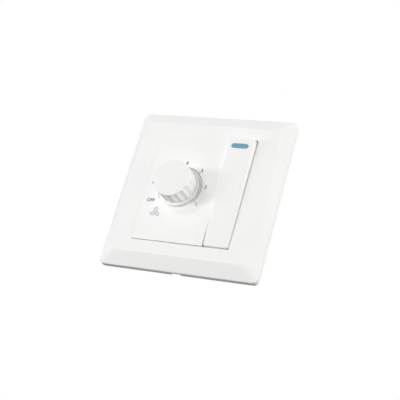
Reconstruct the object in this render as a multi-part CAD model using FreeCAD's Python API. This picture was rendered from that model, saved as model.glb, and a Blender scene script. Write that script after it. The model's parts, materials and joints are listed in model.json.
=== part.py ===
import FreeCAD, Part
import math
import os

from FreeCAD import Vector

# Wall-mounted fan speed control with a rotary dial and a rocker switch, in millimetres.
# X runs to the right, Z up, and the front faces -Y. The wall plane is Y = 0, so everything
# with a positive Y lies inside the wall box.

# Cover frame
PLATE = 86.0            # outer square
PLATE_R = 2.6           # outer corner radius
RIM_H = 2.9             # straight side wall, measured from the wall plane
SHOULDER_H = 0.8        # rounded edge from the side wall to the sloped border
SHOULDER_IN = 0.7
SHOULDER_R = 2.4        # corner radius at the border's outer edge
SHOULDER_MID_H = 0.5    # middle of the rounded edge, over the side wall
SHOULDER_MID_IN = 0.2
FACE_H = 7.4            # raised front face, measured from the wall plane
FACE_WIDE = 71.6        # raised face along its top and bottom edges
FACE_TALL = 72.4        # raised face from top to bottom
FACE_BOW = 3.0          # outward bow of the raised face's left and right edges
FACE_R = 2.2            # corner radius of the raised face
SHELL = 2.0             # moulded wall
BORDER_INSET = 1.2      # shift of the cavity's slope against the outer slope
CAVITY_H = 2.6          # cavity's straight side, measured from the wall plane
CAVITY_BEVEL = 1.6      # cavity's corners, cut across
COLLAR = 1.4            # wall round the opening, standing on the mounting plate
NOTCH_W = 4.8           # pry notch in the bottom wall
NOTCH_H = 1.6

# Module behind the frame's opening
MODULE_W = 52.4
MODULE_H = 58.6
MODULE_GAP = 0.3        # play between module and opening
MODULE_PROUD = 0.4      # module front over the frame's face
SKIN = 2.0              # front skin of the dial panel
SKIRT = 1.4             # side walls of the dial panel
TONGUE_W = 8.0          # snap tongues of the dial panel
TONGUE_T = 1.1
TONGUE_BARB = 0.8
TONGUE_GAP = 0.2

# Mounting plate and its fixing to a standard wall box
STRAP_T = 1.8           # plate thickness
FIX_SPACING = 60.3      # fixing slots, centre to centre
FIX_R = 2.1             # half width of a slot
FIX_SLOT = 7.4          # end to end length of a slot
FIX_HEAD_R = 4.0        # room for a fixing screw's head
LEDGE = 1.7             # seat of the module on the plate, beside the window
EDGE_RIB = 1.2          # ribs along the plate's edges
EDGE_RIB_H = 0.8
CLIP_W = 9.0            # clip ears and the frame's lugs
CLIP_T = 1.2
CLIP_Z = 20.0
CLIP_BUMP = 0.9
CLIP_BUMP_H = 0.5
CLIP_PLAY = 0.1
LUG_H = 1.2
EDGE_GAP = 2.6          # plate edge to the frame's side wall
BOSS_R = 2.4            # screw bosses
BOSS_H = 2.8
BOSS_X = 17.0
BOSS_GAP = 0.7          # boss to the frame's collar

# Rear housing
HOUSING_DEPTH = 29.0
HOUSING_WALL = 1.4
HOUSING_FLOOR = 1.6
HOUSING_R = 2.5
EAR_R = 3.6
EAR_T = 3.0
VENT_LONG = 13.0
VENT_WIDE = 1.6
VENT_PITCH = 4.0
VENT_ROWS = 5
POST = 4.0              # square posts under the board
POST_INSET = 3.2
LOW_POST_Z = -14.0      # lower posts, above the wire terminals

# Screws that hold the housing to the plate
SCREW_R = 1.3
SCREW_HEAD_R = 2.5
SCREW_HEAD_H = 1.7
SCREW_PLAY = 0.05
DRIVE_W = 0.8           # screwdriver slot
DRIVE_DEPTH = 0.7

# Speed knob
KNOB_X = -8.0
KNOB_Z = 0.0
KNOB_R = 9.7
KNOB_H = 11.4           # top edge above the panel
KNOB_CROWN = 0.35       # rise of the top's centre over its edge
KNOB_EDGE = 0.3
KNOB_GAP = 0.4          # flange to the panel
FLANGE_R = 10.6
FLANGE_T = 1.3
FLANGE_BEVEL = 0.4
FLUTES = 18
FLUTE_R = 2.2
FLUTE_DEPTH = 0.5
FLUTE_TOP = 0.55        # plain rim left above the flutes
KNOB_ROOF = 1.8
KNOB_WALL = 1.9
SOCKET_WALL = 1.6
KNOB_POINTS_AT = -41.7  # degrees clockwise from twelve o'clock, at the fifth mark of the scale
POINTER_W = 1.2         # pointer rib down the side
POINTER_R = 10.3        # pointer rib's outer face, from the axis

# Potentiometer
POT_R = 8.0
POT_T = 8.0
BUSH_R = 3.5
BUSH_STAND = 3.2        # bush in front of the panel
BUSH_GAP = 0.1
SHAFT_R = 3.0
SHAFT_RUN = 0.05        # running clearance of the shaft
SHAFT_FLAT = 1.5        # flat of the shaft, from its axis
SHAFT_TIP = 9.2         # shaft tip above the panel
SHAFT_FOOT = 4.0        # shaft inside the body
CLIP_PLATE_T = 0.4
CLIP_PLATE_W = 4.0
WASHER_R = 5.4
WASHER_T = 0.5
NUT_FLATS = 10.0
NUT_T = 2.0

# Rocker
ROCKER_W = 13.4
ROCKER_GAP = 0.35       # rocker to panel
ROCKER_END_GAP = 0.5    # circle of the rocker's ends to the opening
ROCKER_TILT = 4.0       # degrees each way from the middle
ROCKER_SKIN = 1.8
ROCKER_WALL = 1.3
ROCKER_ROUND = 0.6
ROCKER_END_DEPTH = 4.0  # depth of the rocker at its ends
PIVOT_DEPTH = 3.6       # pivot behind the module front
PIVOT_R = 1.2
PIVOT_RUN = 0.05
PIVOT_WEB = 1.8         # rocker wall behind the pivot
PIVOT_WEB_Z = 3.0
STRIP_LONG = 9.2        # marker strip
STRIP_WIDE = 2.5
STRIP_INSET = 4.9       # strip to the circle of the rocker's end
STRIP_LIP = 0.7
STRIP_LIP_T = 0.6
STRIP_FIT = 0.05
STRIP_SINK = 0.1
STEM_WALL = 0.95
STEM_END = 5.6          # stem end behind the rocker's inner face

# Contact mechanism
CRADLE_SIDE_GAP = 0.55  # cradle to the rocker's inner walls
CRADLE_WALL = 1.2
CRADLE_TRAY = 1.1
CRADLE_BOX_TALL = 26.0
CRADLE_DEPTH = 7.8      # box behind the plate's front
CRADLE_FLOOR = 1.4
PIVOT_EAR_W = 5.2
PLUNGER_R = 1.65
PLUNGER_FIT = 0.1
PLUNGER_TIP = 5.8       # plunger tip behind the pivot
PLUNGER_LONG = 5.0
PLUNGER_NOSE = 1.3
PLUNGER_NOSE_R = 0.5
SPRING_WIRE = 0.4       # square wire
SPRING_TURNS = 3
CONTACT_W = 4.0
CONTACT_T = 0.8
CONTACT_ARM = 9.0
CONTACT_TILT = 7.0      # degrees each way
CONTACT_GAP = 0.15      # play at the plunger and at the closed contact
RIVET_R = 1.3
RIVET_H = 0.5
RIVET_Z = 7.4
KNIFE_T = 1.0
KNIFE_GAP = 0.05
TAIL_W = 2.0
TAIL_OUT = 1.2
TAIL_FIT = 0.1
TAIL_Z = 9.4

# Circuit board and its components
BOARD_T = 1.6
BOARD_GAP = 0.3         # board edge to the housing
LEAD = 0.7              # square section of a lead
LEAD_FIT = 0.15         # play of a lead in its hole
LEAD_OUT = 0.6
CHOKE_R = 3.0           # ferrite rod
CHOKE_LONG = 22.0
CHOKE_X = 2.5
CHOKE_Z = 2.0
WINDING_R = 5.6
WINDING_LONG = 17.0
FILM_LONG = 18.0
FILM_TALL = 7.5
FILM_H = 13.0
FILM_X = 9.0
FILM_INSET = 10.4       # to the board's upper edge
TIMING_LONG = 7.2
TIMING_TALL = 3.0
TIMING_H = 6.5
TIMING_X = -9.0
TIMING_INSET = 7.4      # to the board's upper edge
CASE_CHAMFER = 0.6
RESISTOR_R = 1.25
RESISTOR_LONG = 6.4
RESISTOR_SPAN = 10.2
RESISTOR_X = (-13.0, -8.5)
RESISTOR_INSET = 12.9   # to the board's lower edge
TRIAC_W = 10.0
TRIAC_H = 15.2
TRIAC_CASE_H = 9.0
TRIAC_T = 4.4
TRIAC_TAB = 1.3
TRIAC_PITCH = 2.54
TRIAC_STAND = 1.0
TRIAC_Z = 6.0
TRIAC_HOLE_R = 1.8
SINK_T = 2.0
SINK_W = 20.0
SINK_FOOT = 7.0
SINK_H = 15.8
TAB_SCREW_R = 1.45
TAB_SCREW_HEAD_R = 2.7
TAB_SCREW_HEAD_H = 1.8

# Wire terminals
TERMINAL_W = 7.6
TERMINAL_TALL = 8.0
TERMINAL_DEEP = 8.4
TERMINAL_X = (-12.0, 2.0)
TERMINAL_PIN = 1.3
WIRE_R = 1.7
WIRE_HOLE = 4.2         # square wire entry in the housing
WIRE_WALL = 1.6         # block in front of the wire bore
CLAMP_R = 1.75
CLAMP_HEAD_R = 2.3
CLAMP_INTO = 0.4        # threaded bore's end inside the wire bore
CLAMP_CLEAR = 0.1       # screw tip, drawn back, to the wire bore
CLAMP_HEAD_H = 1.0
ACCESS = 5.2            # square opening for the screwdriver
PARTITION = 1.2

# Places worked out from the sizes above
FACE_Y = -FACE_H
MODULE_Y = FACE_Y - MODULE_PROUD
SEAT_Y = -STRAP_T
OPEN_W = MODULE_W + 2 * MODULE_GAP
OPEN_H = MODULE_H + 2 * MODULE_GAP
STRAP = PLATE - 2 * SHELL - 2 * EDGE_GAP
WINDOW_W = MODULE_W - 2 * LEDGE
WINDOW_H = MODULE_H - 2 * LEDGE
BOSS_Z = OPEN_H / 2 + COLLAR + BOSS_GAP + BOSS_R
PANEL_LEFT = -MODULE_W / 2
PANEL_RIGHT = MODULE_W / 2 - ROCKER_W - ROCKER_GAP
PANEL_BACK = MODULE_Y + SKIN
ROCKER_X = MODULE_W / 2 - ROCKER_W / 2
PIVOT_Y = MODULE_Y + PIVOT_DEPTH
ROCKER_SWING = OPEN_H / 2 - ROCKER_END_GAP
STRIP_Z = ROCKER_SWING - STRIP_INSET
ROCKER_FRONT = MODULE_Y - ROCKER_SWING * math.sin(math.radians(ROCKER_TILT))
ROCKER_INNER = ROCKER_FRONT + ROCKER_SKIN
CRADLE_HALF = ROCKER_W / 2 - ROCKER_WALL - CRADLE_SIDE_GAP
CRADLE_LEFT = ROCKER_X - CRADLE_HALF
CRADLE_RIGHT = ROCKER_X + CRADLE_HALF
CRADLE_BACK = SEAT_Y + CRADLE_DEPTH
CRADLE_INNER_BACK = CRADLE_BACK - CRADLE_FLOOR
BOARD_FRONT = CRADLE_BACK
BOARD_BACK = BOARD_FRONT + BOARD_T
HOUSING_IN_W = WINDOW_W
HOUSING_IN_H = MODULE_H - 2 * SKIRT + 2 * TONGUE_BARB
HOUSING_W = HOUSING_IN_W + 2 * HOUSING_WALL
HOUSING_H = HOUSING_IN_H + 2 * HOUSING_WALL
HOUSING_BACK = HOUSING_DEPTH
HOUSING_IN_BACK = HOUSING_DEPTH - HOUSING_FLOOR
BOARD_W = HOUSING_IN_W - 2 * BOARD_GAP
BOARD_H = HOUSING_IN_H - 2 * BOARD_GAP
FILM_Z = BOARD_H / 2 - FILM_INSET
TIMING_Z = BOARD_H / 2 - TIMING_INSET
RESISTOR_Z = RESISTOR_INSET - BOARD_H / 2
CONTACT_FRONT = PIVOT_Y + PLUNGER_TIP + CONTACT_GAP
CONTACT_PIVOT = CONTACT_FRONT + CONTACT_T
SINK_X = -BOARD_W / 2
TERMINAL_FRONT = HOUSING_IN_BACK - TERMINAL_DEEP
TERMINAL_BOTTOM = -HOUSING_IN_H / 2
TERMINAL_Z = TERMINAL_BOTTOM + TERMINAL_TALL / 2
WIRE_Y = TERMINAL_FRONT + WIRE_R + WIRE_WALL

DEPTH = Vector(0, 1, 0)
WIDTH = Vector(1, 0, 0)
SIDES = (-1, 1)


def block(x0, x1, y0, y1, z0, z1):
    """Box between two corners."""
    return Part.makeBox(x1 - x0, y1 - y0, z1 - z0, Vector(x0, y0, z0))


def rod(x, z, radius, y0, y1):
    """Round bar along the depth axis."""
    return Part.makeCylinder(radius, y1 - y0, Vector(x, y0, z), DEPTH)


def cross_rod(x0, x1, radius, y, z):
    """Round bar along the width axis."""
    return Part.makeCylinder(radius, x1 - x0, Vector(x0, y, z), WIDTH)


def outline(wide, tall, radius, y, bow=0.0):
    """Rounded rectangle in a plane of constant depth, its left and right sides bowed outward as arcs."""
    top = tall / 2
    corner_x = wide / 2 - radius
    lean = 0.0
    end_x = wide / 2
    end_z = top - radius
    if bow:
        side_r = (top ** 2 + bow ** 2) / (2 * bow)
        side_x = wide / 2 + bow - side_r
        corner_x = side_x + math.sqrt((side_r - radius) ** 2 - (top - radius) ** 2)
        lean = math.atan2(top - radius, corner_x - side_x)
        end_x = side_x + side_r * math.cos(lean)
        end_z = side_r * math.sin(lean)
    middle = (lean + math.pi / 2) / 2
    mid_x = corner_x + radius * math.cos(middle)
    mid_z = top - radius + radius * math.sin(middle)

    def at(x, z):
        return Vector(x, y, z)

    def side(sign):
        start = at(sign * end_x, sign * end_z)
        stop = at(sign * end_x, -sign * end_z)
        if bow:
            return Part.Arc(start, at(sign * (wide / 2 + bow), 0), stop).toShape()
        return Part.LineSegment(start, stop).toShape()

    def corner(sx, sz, towards_side):
        ends = [at(sx * corner_x, sz * top), at(sx * end_x, sz * end_z)]
        if not towards_side:
            ends.reverse()
        return Part.Arc(ends[0], at(sx * mid_x, sz * mid_z), ends[1]).toShape()

    def level(sign):
        return Part.LineSegment(at(-sign * corner_x, sign * top), at(sign * corner_x, sign * top)).toShape()

    return Part.Wire([
        level(1), corner(1, 1, True), side(1), corner(1, -1, False),
        level(-1), corner(-1, -1, True), side(-1), corner(-1, 1, False),
    ])


def cut_corner_outline(wide, tall, cut, y):
    """Rectangle with its corners cut across, in a plane of constant depth."""
    x = wide / 2
    z = tall / 2
    quarter = [(x - cut, z), (x, z - cut)]
    right = quarter + [(a, -b) for a, b in reversed(quarter)]
    points = right + [(-a, b) for a, b in reversed(right)]
    corners = [Vector(a, y, b) for a, b in points]
    return Part.makePolygon(corners + corners[:1])


def slab(wire, depth):
    """Prism on a closed outline, running towards the wall."""
    return Part.Face(wire).extrude(Vector(0, depth, 0))


def slot_bar(x, z, long, wide, y0, y1):
    """Bar with a stadium section whose long side runs along the width."""
    radius = wide / 2
    half = long / 2 - radius
    bar = block(x - half, x + half, y0, y1, z - radius, z + radius)
    return bar.fuse([rod(x - half, z, radius, y0, y1), rod(x + half, z, radius, y0, y1)]).removeSplitter()


def side_profile(points, x0, x1):
    """Prism on a side view outline given as (depth, height) points."""
    corners = [Vector(x0, y, z) for y, z in points]
    return Part.Face(Part.makePolygon(corners + corners[:1])).extrude(Vector(x1 - x0, 0, 0))


def revolve_y(points, x, z):
    """Turned piece from (radius, depth) points about an axis along the depth."""
    corners = [Vector(x + r, y, z) for r, y in points]
    return Part.Face(Part.makePolygon(corners + corners[:1])).revolve(Vector(x, 0, z), DEPTH, 360)


def edges_where(shape, test):
    """Edges whose every vertex passes the test."""
    return [edge for edge in shape.Edges if all(test(v.Point) for v in edge.Vertexes)]


def tilted(shape, degrees, y, z):
    """Copy turned about an axis along the width."""
    turned = shape.copy()
    turned.rotate(Vector(0, y, z), WIDTH, degrees)
    return turned


def cover_frame():
    """Shell with a sloped border, the opening's collar, clip lugs and the pry notch."""
    middle = PLATE - 2 * SHOULDER_MID_IN
    border = PLATE - 2 * SHOULDER_IN
    body = Part.makeLoft([
        outline(PLATE, PLATE, PLATE_R, 0),
        outline(PLATE, PLATE, PLATE_R, -RIM_H),
        outline(middle, middle, PLATE_R, -RIM_H - SHOULDER_MID_H),
        outline(border, border, SHOULDER_R, -RIM_H - SHOULDER_H),
        outline(FACE_WIDE, FACE_TALL, FACE_R, FACE_Y, FACE_BOW),
    ], True, True)
    inner = PLATE - 2 * SHELL
    cavity = Part.makeLoft([
        cut_corner_outline(inner, inner, CAVITY_BEVEL, 0),
        cut_corner_outline(inner, inner, CAVITY_BEVEL, -CAVITY_H),
        cut_corner_outline(FACE_WIDE - BORDER_INSET, FACE_TALL - BORDER_INSET, CAVITY_BEVEL, FACE_Y + SHELL),
    ], True, True)
    half_w = OPEN_W / 2
    half_h = OPEN_H / 2
    collar = block(-half_w - COLLAR, half_w + COLLAR, FACE_Y + SHELL, SEAT_Y,
                   -half_h - COLLAR, half_h + COLLAR)
    fix_x = FIX_SPACING / 2
    for sign in SIDES:
        collar = collar.cut(block(sign * fix_x - FIX_HEAD_R, sign * fix_x + FIX_HEAD_R,
                                  FACE_Y + SHELL, SEAT_Y, -FIX_HEAD_R, FIX_HEAD_R))
    frame = body.cut(cavity).fuse(collar)
    frame = frame.cut(block(-half_w, half_w, FACE_Y - SHELL, 0, -half_h, half_h))
    lugs = []
    for sx in SIDES:
        for sz in SIDES:
            near = STRAP / 2 + CLIP_BUMP / 2
            xs = sorted((sx * near, sx * (inner / 2 + SHELL / 2)))
            lugs.append(block(xs[0], xs[1], SEAT_Y - CLIP_PLAY - LUG_H, SEAT_Y - CLIP_PLAY,
                              sz * CLIP_Z - CLIP_W / 2, sz * CLIP_Z + CLIP_W / 2))
    frame = frame.fuse(lugs)
    notch = block(-NOTCH_W / 2, NOTCH_W / 2, -NOTCH_H, 0, -PLATE / 2, -inner / 2)
    return frame.cut(notch).removeSplitter()


def screw_places():
    """Housing screws, at two opposite corners outside the frame's collar."""
    return [(-BOSS_X, BOSS_Z), (BOSS_X, -BOSS_Z)]


def mounting_plate():
    """Flat plate with a window, fixing slots, edge ribs, clip ears and screw bosses."""
    plate = slab(outline(STRAP, STRAP, PLATE_R - SHELL, SEAT_Y), STRAP_T)
    far = STRAP / 2 - PLATE_R + SHELL
    near = STRAP / 2 - EDGE_RIB
    rib_y = SEAT_Y - EDGE_RIB_H
    ribs = []
    for sign in SIDES:
        span = sorted((sign * near, sign * STRAP / 2))
        ribs.append(block(-far, far, rib_y, SEAT_Y, span[0], span[1]))
        ribs.append(block(span[0], span[1], rib_y, SEAT_Y, -far, far))
    add = ribs + [rod(x, z, BOSS_R, SEAT_Y - BOSS_H, SEAT_Y) for x, z in screw_places()]
    ear_front = SEAT_Y - CLIP_PLAY - LUG_H - CLIP_BUMP_H
    edge = STRAP / 2
    profile = [(edge - CLIP_T, SEAT_Y), (edge, SEAT_Y), (edge, ear_front + CLIP_BUMP_H),
               (edge + CLIP_BUMP, ear_front + CLIP_BUMP_H), (edge, ear_front), (edge - CLIP_T, ear_front)]
    for sx in SIDES:
        for sz in SIDES:
            corners = [Vector(sx * x, y, sz * CLIP_Z - CLIP_W / 2) for x, y in profile]
            ear = Part.Face(Part.makePolygon(corners + corners[:1]))
            add.append(ear.extrude(Vector(0, 0, CLIP_W)))
    plate = plate.fuse(add)
    cuts = [block(-WINDOW_W / 2, WINDOW_W / 2, SEAT_Y, 0, -WINDOW_H / 2, WINDOW_H / 2)]
    for sx in SIDES:
        cuts.append(slot_bar(sx * FIX_SPACING / 2, 0, FIX_SLOT, 2 * FIX_R, SEAT_Y, 0))
    cuts += [rod(x, z, SCREW_R + SCREW_PLAY, SEAT_Y - BOSS_H, 0) for x, z in screw_places()]
    return plate.cut(cuts).removeSplitter()


def dial_panel():
    """Front panel with skirts standing on the plate and snap tongues through its window."""
    half_h = MODULE_H / 2
    panel = block(PANEL_LEFT, PANEL_RIGHT, MODULE_Y, SEAT_Y, -half_h, half_h)
    panel = panel.makeFillet(SKIRT / 5, edges_where(panel, lambda p: p.y < PANEL_BACK))
    panel = panel.cut(block(PANEL_LEFT + SKIRT, PANEL_RIGHT - SKIRT, PANEL_BACK, SEAT_Y,
                            SKIRT - half_h, half_h - SKIRT))
    tongue_x = (PANEL_LEFT + PANEL_RIGHT) / 2
    far = WINDOW_H / 2 - TONGUE_GAP
    for sign in SIDES:
        profile = [(PANEL_BACK, far), (TONGUE_GAP, far), (TONGUE_GAP, far + TONGUE_BARB),
                   (TONGUE_GAP + TONGUE_T, far), (TONGUE_GAP + 2 * TONGUE_T, far - TONGUE_T),
                   (PANEL_BACK, far - TONGUE_T)]
        profile = [(y, sign * z) for y, z in profile]
        panel = panel.fuse(side_profile(profile, tongue_x - TONGUE_W / 2, tongue_x + TONGUE_W / 2))
    return panel.cut(rod(KNOB_X, KNOB_Z, BUSH_R + BUSH_GAP, MODULE_Y, PANEL_BACK)).removeSplitter()


def pin(x, z, wide, y0, y1):
    """Square bar along the depth axis."""
    half = wide / 2
    return block(x - half, x + half, y0, y1, z - half, z + half)


def lead_holes(places, wide):
    """Holes through the board for leads of this width."""
    return [pin(x, z, wide + 2 * LEAD_FIT, BOARD_FRONT, BOARD_BACK) for x, z in places]


def pot_lead_places():
    pitch = POT_R / 2
    return [(KNOB_X + step * pitch, KNOB_Z - POT_R + LEAD) for step in (-1, 0, 1)]


def choke_lead_places():
    return [(CHOKE_X + sign * (WINDING_LONG / 2 - LEAD), CHOKE_Z) for sign in SIDES]


def film_lead_places():
    return [(FILM_X + sign * (FILM_LONG / 2 - FILM_TALL / 4), FILM_Z) for sign in SIDES]


def timing_lead_places():
    return [(TIMING_X + sign * (TIMING_LONG / 2 - TIMING_TALL / 3), TIMING_Z) for sign in SIDES]


def resistor_lead_places():
    return [(x, RESISTOR_Z + sign * RESISTOR_SPAN / 2) for x in RESISTOR_X for sign in SIDES]


def triac_axis_x():
    return SINK_X + SINK_T + TRIAC_T / 2


def triac_lead_places():
    return [(triac_axis_x(), TRIAC_Z + step * TRIAC_PITCH) for step in (-1, 0, 1)]


def tail_places():
    return [-TAIL_Z, TAIL_Z]


def circuit_board():
    """Board across the housing with a hole for every lead and contact tail."""
    board = slab(cut_corner_outline(BOARD_W, BOARD_H, HOUSING_R - HOUSING_WALL, BOARD_FRONT), BOARD_T)
    small = (pot_lead_places() + choke_lead_places() + film_lead_places() + timing_lead_places()
             + resistor_lead_places() + triac_lead_places())
    cuts = lead_holes(small, LEAD)
    cuts += lead_holes([(x, TERMINAL_Z) for x in TERMINAL_X], TERMINAL_PIN)
    cuts += [tail_bar(z, TAIL_FIT, BOARD_FRONT, BOARD_BACK) for z in tail_places()]
    return board.cut(cuts)


def tail_bar(z, extra, y0, y1):
    """Flat contact tail, or with extra room the slot that it passes through."""
    half = TAIL_W / 2 + extra
    thick = CONTACT_T / 2 + extra
    return block(ROCKER_X - half, ROCKER_X + half, y0, y1, z - thick, z + thick)


def leads(places, y0):
    """Leads from a component behind the board through to its front."""
    return [pin(x, z, LEAD, BOARD_FRONT - LEAD_OUT, y0) for x, z in places]


def rear_housing():
    """Deep box with screw ears, board posts, terminal partitions, vents and holes."""
    box = slab(outline(HOUSING_W, HOUSING_H, HOUSING_R, 0), HOUSING_BACK)
    ears = []
    for x, z in screw_places():
        root = math.copysign(HOUSING_IN_H / 2, z)
        ears.append(rod(x, z, EAR_R, 0, EAR_T))
        ears.append(block(x - EAR_R, x + EAR_R, 0, EAR_T, min(root, z), max(root, z)))
    box = box.fuse(ears)
    room = slab(outline(HOUSING_IN_W, HOUSING_IN_H, HOUSING_R - HOUSING_WALL, 0), HOUSING_IN_BACK)
    box = box.cut(room)
    add = []
    post_x = BOARD_W / 2 - POST_INSET
    post_z = BOARD_H / 2 - POST_INSET
    for sx in SIDES:
        add += [pin(sx * post_x, z, POST, BOARD_BACK, HOUSING_IN_BACK) for z in (post_z, LOW_POST_Z)]
    gaps = [TERMINAL_X[0] - TERMINAL_W / 2 - PARTITION] + [x + TERMINAL_W / 2 for x in TERMINAL_X]
    for x in gaps:
        add.append(block(x, x + PARTITION, TERMINAL_FRONT, HOUSING_IN_BACK,
                         TERMINAL_BOTTOM, TERMINAL_BOTTOM + TERMINAL_TALL))
    box = box.fuse(add)
    cuts = [rod(x, z, SCREW_R + SCREW_PLAY, 0, EAR_T) for x, z in screw_places()]
    for x in TERMINAL_X:
        cuts.append(pin(x, TERMINAL_Z, ACCESS, HOUSING_IN_BACK, HOUSING_BACK))
        entry = WIRE_HOLE / 2
        cuts.append(block(x - entry, x + entry, WIRE_Y - entry, WIRE_Y + entry,
                          -HOUSING_H / 2, -HOUSING_IN_H / 2))
    for column in SIDES:
        for row in range(VENT_ROWS):
            z = VENT_PITCH * (row - (VENT_ROWS - 1) / 2) + VENT_PITCH
            x = column * HOUSING_W / 5
            cuts.append(block(x - VENT_LONG / 2, x + VENT_LONG / 2, HOUSING_IN_BACK, HOUSING_BACK,
                              z - VENT_WIDE / 2, z + VENT_WIDE / 2))
    return box.cut(cuts).removeSplitter()


def driven_screw(x, z, shank_r, y_tip, y_seat, head_r, head_h):
    """Slotted screw whose head faces into the wall box."""
    screw = rod(x, z, shank_r, y_tip, y_seat).fuse(rod(x, z, head_r, y_seat, y_seat + head_h))
    drive = block(x - DRIVE_W / 2, x + DRIVE_W / 2, y_seat + head_h - DRIVE_DEPTH, y_seat + head_h,
                  z - head_r, z + head_r)
    return screw.cut(drive).removeSplitter()


def housing_screws():
    """Screws through the housing's ears into the plate's bosses."""
    tip = SEAT_Y - BOSS_H / 2
    return Part.makeCompound([driven_screw(x, z, SCREW_R, tip, EAR_T, SCREW_HEAD_R, SCREW_HEAD_H)
                              for x, z in screw_places()])


def pot_body():
    """Can with a threaded bush, a blind shaft bore and three legs to the board."""
    can = rod(KNOB_X, KNOB_Z, POT_R, PANEL_BACK, PANEL_BACK + POT_T)
    bush = rod(KNOB_X, KNOB_Z, BUSH_R, MODULE_Y - BUSH_STAND, PANEL_BACK)
    legs = [pin(x, z, LEAD, PANEL_BACK + POT_T, BOARD_BACK + LEAD_OUT) for x, z in pot_lead_places()]
    bore_end = PANEL_BACK + SHAFT_FOOT + SHAFT_RUN
    bore = rod(KNOB_X, KNOB_Z, SHAFT_R + SHAFT_RUN, MODULE_Y - BUSH_STAND, bore_end)
    return can.fuse([bush] + legs).cut(bore).removeSplitter()


def pot_washer():
    ring = rod(KNOB_X, KNOB_Z, WASHER_R, MODULE_Y - WASHER_T, MODULE_Y)
    return ring.cut(rod(KNOB_X, KNOB_Z, BUSH_R + BUSH_GAP, MODULE_Y - WASHER_T, MODULE_Y))


def pot_nut():
    """Hexagon nut on the bush."""
    radius = NUT_FLATS / math.sqrt(3)
    front = MODULE_Y - WASHER_T - NUT_T
    turns = [math.radians(60 * step) for step in range(6)]
    corners = [Vector(KNOB_X + radius * math.cos(a), front, KNOB_Z + radius * math.sin(a)) for a in turns]
    nut = Part.Face(Part.makePolygon(corners + corners[:1])).extrude(Vector(0, NUT_T, 0))
    return nut.cut(rod(KNOB_X, KNOB_Z, BUSH_R + BUSH_GAP, front, front + NUT_T))


def knob_turned(shape):
    """Turns a knob piece, made pointing up, to the mark that it points at."""
    shape.rotate(Vector(KNOB_X, 0, KNOB_Z), DEPTH, KNOB_POINTS_AT)
    return shape


def shaft_section(extra, y0, y1):
    """Round bar with one flat, which faces away from the pointer."""
    bar = rod(KNOB_X, KNOB_Z, SHAFT_R + extra, y0, y1)
    reach = 2 * SHAFT_R
    flat = block(KNOB_X - reach, KNOB_X + reach, y0, y1, KNOB_Z - reach, KNOB_Z - SHAFT_FLAT - extra)
    return bar.cut(flat)


def socket_mouth():
    """Depth at which the knob's socket starts, in front of the bush."""
    return MODULE_Y - BUSH_STAND - KNOB_GAP


def pot_shaft():
    """Shaft running in the bush, flattened where the knob sits on it."""
    tip = MODULE_Y - SHAFT_TIP
    shaft = rod(KNOB_X, KNOB_Z, SHAFT_R, socket_mouth(), PANEL_BACK + SHAFT_FOOT)
    return knob_turned(shaft.fuse(shaft_section(0, tip, socket_mouth())).removeSplitter())


def knob_clip():
    """Spring plate between the shaft's flat and the knob's socket."""
    z_top = KNOB_Z - SHAFT_FLAT
    return knob_turned(block(KNOB_X - CLIP_PLATE_W / 2, KNOB_X + CLIP_PLATE_W / 2, MODULE_Y - SHAFT_TIP,
                             socket_mouth(), z_top - CLIP_PLATE_T, z_top))


def fluted_section(y):
    """Knob outline at one depth: lands on a circle, with shallow concave flutes between them."""
    centre = KNOB_R + FLUTE_R - FLUTE_DEPTH
    half = math.acos((KNOB_R ** 2 + centre ** 2 - FLUTE_R ** 2) / (2 * KNOB_R * centre))
    pitch = 2 * math.pi / FLUTES

    def at(radius, angle):
        return Vector(KNOB_X + radius * math.sin(angle), y, KNOB_Z + radius * math.cos(angle))

    edges = []
    for step in range(FLUTES):
        turn = step * pitch
        start = at(KNOB_R, turn - half)
        stop = at(KNOB_R, turn + half)
        land_end = at(KNOB_R, turn + pitch - half)
        edges.append(Part.Arc(start, at(KNOB_R - FLUTE_DEPTH, turn), stop).toShape())
        edges.append(Part.Arc(stop, at(KNOB_R, turn + pitch / 2), land_end).toShape())
    return Part.Wire(edges)


def knob_rim():
    """Turned rim over the flutes, with a crowned top."""
    edge = MODULE_Y - KNOB_H
    foot = edge + FLUTE_TOP
    top_r = KNOB_R - KNOB_EDGE

    def at(radius, y):
        return Vector(KNOB_X + radius, y, KNOB_Z)

    crown_r = (top_r ** 2 + KNOB_CROWN ** 2) / (2 * KNOB_CROWN)
    crown_mid = edge - KNOB_CROWN + crown_r - math.sqrt(crown_r ** 2 - (top_r / 2) ** 2)
    corners = [at(top_r, edge), at(KNOB_R, edge + KNOB_EDGE), at(KNOB_R, foot), at(0, foot),
               at(0, edge - KNOB_CROWN)]
    edges = [Part.Arc(corners[-1], at(top_r / 2, crown_mid), corners[0]).toShape()]
    edges += [Part.LineSegment(a, b).toShape() for a, b in zip(corners, corners[1:])]
    return Part.Face(Part.Wire(edges)).revolve(Vector(KNOB_X, 0, KNOB_Z), DEPTH, 360)


def knob_outer():
    """Outside of the knob: turned rim, fluted side and base flange."""
    base = MODULE_Y - KNOB_GAP
    flange_y = base - FLANGE_T
    rim_y = MODULE_Y - KNOB_H + FLUTE_TOP
    side = slab(fluted_section(rim_y), flange_y - rim_y)
    flange = revolve_y([(0, flange_y), (FLANGE_R - FLANGE_BEVEL, flange_y),
                        (FLANGE_R, flange_y + FLANGE_BEVEL), (FLANGE_R, base), (0, base)], KNOB_X, KNOB_Z)
    return side.fuse([knob_rim(), flange]).removeSplitter()


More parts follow.
